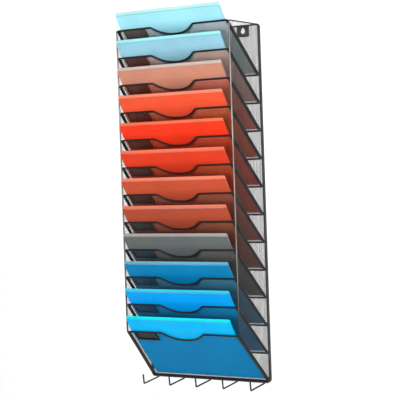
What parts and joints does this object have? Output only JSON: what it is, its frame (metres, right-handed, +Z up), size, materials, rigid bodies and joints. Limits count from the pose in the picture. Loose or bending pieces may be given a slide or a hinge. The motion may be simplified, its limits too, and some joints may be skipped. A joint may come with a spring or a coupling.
{
  "type": "hanging file rack",
  "caption": "Tall wall-hung rack of sloping black mesh pockets in a wire frame, with finger notches, label holders, coloured folders that lift out, and a row of key hooks.",
  "frame": {"origin": "on the wall plane, midway between the two keyholes' round holes", "axes": "+X to the viewer's right, +Y into the wall, +Z up; the pockets are at -Y"},
  "size_m": [0.3452, 0.1533, 0.9235],
  "materials": {
    "black_wire": "satin black powder coat on round steel wire and flat steel bar",
    "black_mesh": "satin black powder coat on fine expanded steel mesh",
    "black_sheet": "satin black powder coat on pressed steel sheet",
    "folder_card_01": "smooth coloured card with a soft sheen",
    "folder_card_02": "smooth coloured card with a soft sheen",
    "folder_card_03": "smooth coloured card with a soft sheen",
    "folder_card_04": "smooth coloured card with a soft sheen",
    "folder_card_05": "smooth coloured card with a soft sheen",
    "folder_card_06": "smooth coloured card with a soft sheen",
    "folder_card_07": "smooth coloured card with a soft sheen",
    "folder_card_08": "smooth coloured card with a soft sheen",
    "folder_card_09": "smooth coloured card with a soft sheen",
    "folder_card_10": "smooth coloured card with a soft sheen",
    "folder_card_11": "smooth coloured card with a soft sheen",
    "folder_card_12": "smooth coloured card with a soft sheen"
  },
  "bodies": {
    "rack": {"back_frame": "black_wire", "back_mesh": "black_mesh", "hanger_plate_left": "black_sheet", "hanger_plate_right": "black_sheet", "front_wire_left": "black_wire", "front_wire_right": "black_wire", "top_arms": "black_wire", "low_arms": "black_wire", "side_mesh_left": "black_mesh", "side_mesh_right": "black_mesh", "pocket_frame_01": "black_wire", "pocket_mesh_01": "black_mesh", "label_holder_01": "black_sheet", "pocket_frame_02": "black_wire", "pocket_mesh_02": "black_mesh", "label_holder_02": "black_sheet", "pocket_frame_03": "black_wire", "pocket_mesh_03": "black_mesh", "label_holder_03": "black_sheet", "pocket_frame_04": "black_wire", "pocket_mesh_04": "black_mesh", "label_holder_04": "black_sheet", "pocket_frame_05": "black_wire", "pocket_mesh_05": "black_mesh", "label_holder_05": "black_sheet", "pocket_frame_06": "black_wire", "pocket_mesh_06": "black_mesh", "label_holder_06": "black_sheet", "pocket_frame_07": "black_wire", "pocket_mesh_07": "black_mesh", "label_holder_07": "black_sheet", "pocket_frame_08": "black_wire", "pocket_mesh_08": "black_mesh", "label_holder_08": "black_sheet", "pocket_frame_09": "black_wire", "pocket_mesh_09": "black_mesh", "label_holder_09": "black_sheet", "pocket_frame_10": "black_wire", "pocket_mesh_10": "black_mesh", "label_holder_10": "black_sheet", "pocket_frame_11": "black_wire", "pocket_mesh_11": "black_mesh", "label_holder_11": "black_sheet", "pocket_frame_12": "black_wire", "pocket_mesh_12": "black_mesh", "label_holder_12": "black_sheet", "key_hooks": "black_wire"},
    "folder_01": {"folder_01": "folder_card_01"},
    "folder_02": {"folder_02": "folder_card_02"},
    "folder_03": {"folder_03": "folder_card_03"},
    "folder_04": {"folder_04": "folder_card_04"},
    "folder_05": {"folder_05": "folder_card_05"},
    "folder_06": {"folder_06": "folder_card_06"},
    "folder_07": {"folder_07": "folder_card_07"},
    "folder_08": {"folder_08": "folder_card_08"},
    "folder_09": {"folder_09": "folder_card_09"},
    "folder_10": {"folder_10": "folder_card_10"},
    "folder_11": {"folder_11": "folder_card_11"},
    "folder_12": {"folder_12": "folder_card_12"}
  },
  "joints": [
    {"name": "folder_01_lift", "type": "slide", "parent": "rack", "child": "folder_01", "axis": [0, -0.7071, 0.7071], "range_m": [0, 0.18]},
    {"name": "folder_02_lift", "type": "slide", "parent": "rack", "child": "folder_02", "axis": [0, -0.7071, 0.7071], "range_m": [0, 0.18]},
    {"name": "folder_03_lift", "type": "slide", "parent": "rack", "child": "folder_03", "axis": [0, -0.7071, 0.7071], "range_m": [0, 0.18]},
    {"name": "folder_04_lift", "type": "slide", "parent": "rack", "child": "folder_04", "axis": [0, -0.7071, 0.7071], "range_m": [0, 0.18]},
    {"name": "folder_05_lift", "type": "slide", "parent": "rack", "child": "folder_05", "axis": [0, -0.7071, 0.7071], "range_m": [0, 0.18]},
    {"name": "folder_06_lift", "type": "slide", "parent": "rack", "child": "folder_06", "axis": [0, -0.7071, 0.7071], "range_m": [0, 0.18]},
    {"name": "folder_07_lift", "type": "slide", "parent": "rack", "child": "folder_07", "axis": [0, -0.7071, 0.7071], "range_m": [0, 0.18]},
    {"name": "folder_08_lift", "type": "slide", "parent": "rack", "child": "folder_08", "axis": [0, -0.7071, 0.7071], "range_m": [0, 0.18]},
    {"name": "folder_09_lift", "type": "slide", "parent": "rack", "child": "folder_09", "axis": [0, -0.7071, 0.7071], "range_m": [0, 0.18]},
    {"name": "folder_10_lift", "type": "slide", "parent": "rack", "child": "folder_10", "axis": [0, -0.7071, 0.7071], "range_m": [0, 0.18]},
    {"name": "folder_11_lift", "type": "slide", "parent": "rack", "child": "folder_11", "axis": [0, -0.7071, 0.7071], "range_m": [0, 0.18]},
    {"name": "folder_12_lift", "type": "slide", "parent": "rack", "child": "folder_12", "axis": [0, -0.7071, 0.7071], "range_m": [0, 0.18]}
  ]
}
